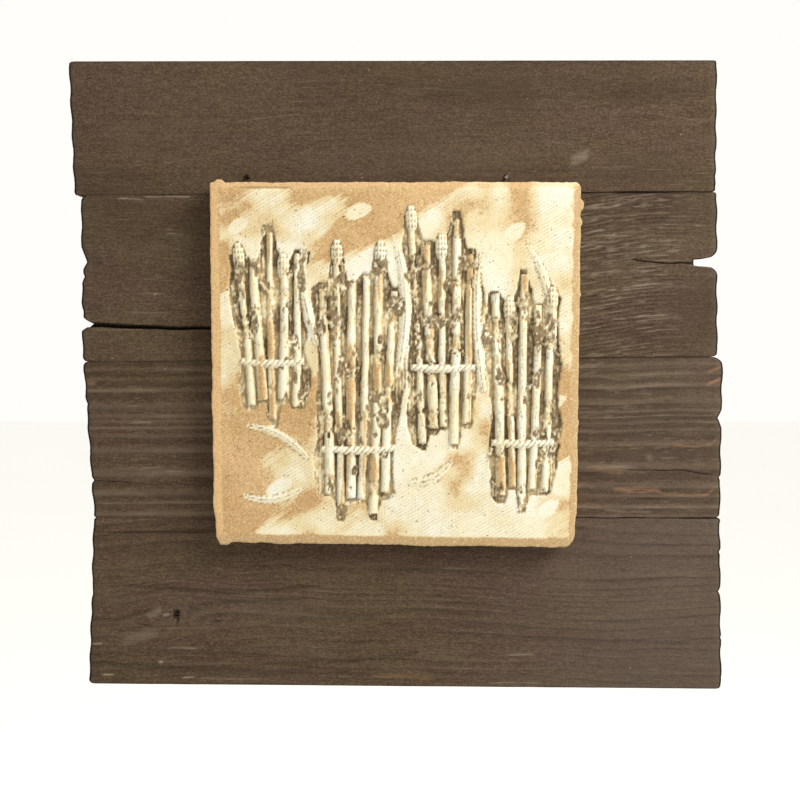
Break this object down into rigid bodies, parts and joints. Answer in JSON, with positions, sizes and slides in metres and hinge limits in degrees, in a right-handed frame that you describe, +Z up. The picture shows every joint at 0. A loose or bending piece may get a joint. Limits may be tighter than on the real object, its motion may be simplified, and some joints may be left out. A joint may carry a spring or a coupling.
{
  "type": "ceramic wall relief",
  "caption": "Square pressed stoneware relief tile hung by wire loops on a panel of dark stained weathered planks, for a wall.",
  "frame": {"origin": "middle of the panel's back, on the third plank's back face, where the work lies against the wall", "axes": "+Y out of the back, into the wall; +Z up; +X to the right as seen by a person facing the work"},
  "size_m": [0.3582, 0.0367, 0.3443],
  "materials": {
    "stained_wood": "dark brown stain on weathered softwood, matt",
    "fired_clay": "unglazed tan clay with cream slip and dark brown oxide in the recesses",
    "dark_wire": "thin wire, darkened",
    "nail_steel": "small bright nail"
  },
  "bodies": {
    "root": {"plank_1_top": "stained_wood", "plank_2_upper": "stained_wood", "plank_3_lower": "stained_wood", "plank_4_bottom": "stained_wood", "ceramic_tile": "fired_clay", "hanging_loop_left": "dark_wire", "hanging_loop_right": "dark_wire", "nail_left": "nail_steel", "nail_right": "nail_steel"}
  },
  "joints": []
}
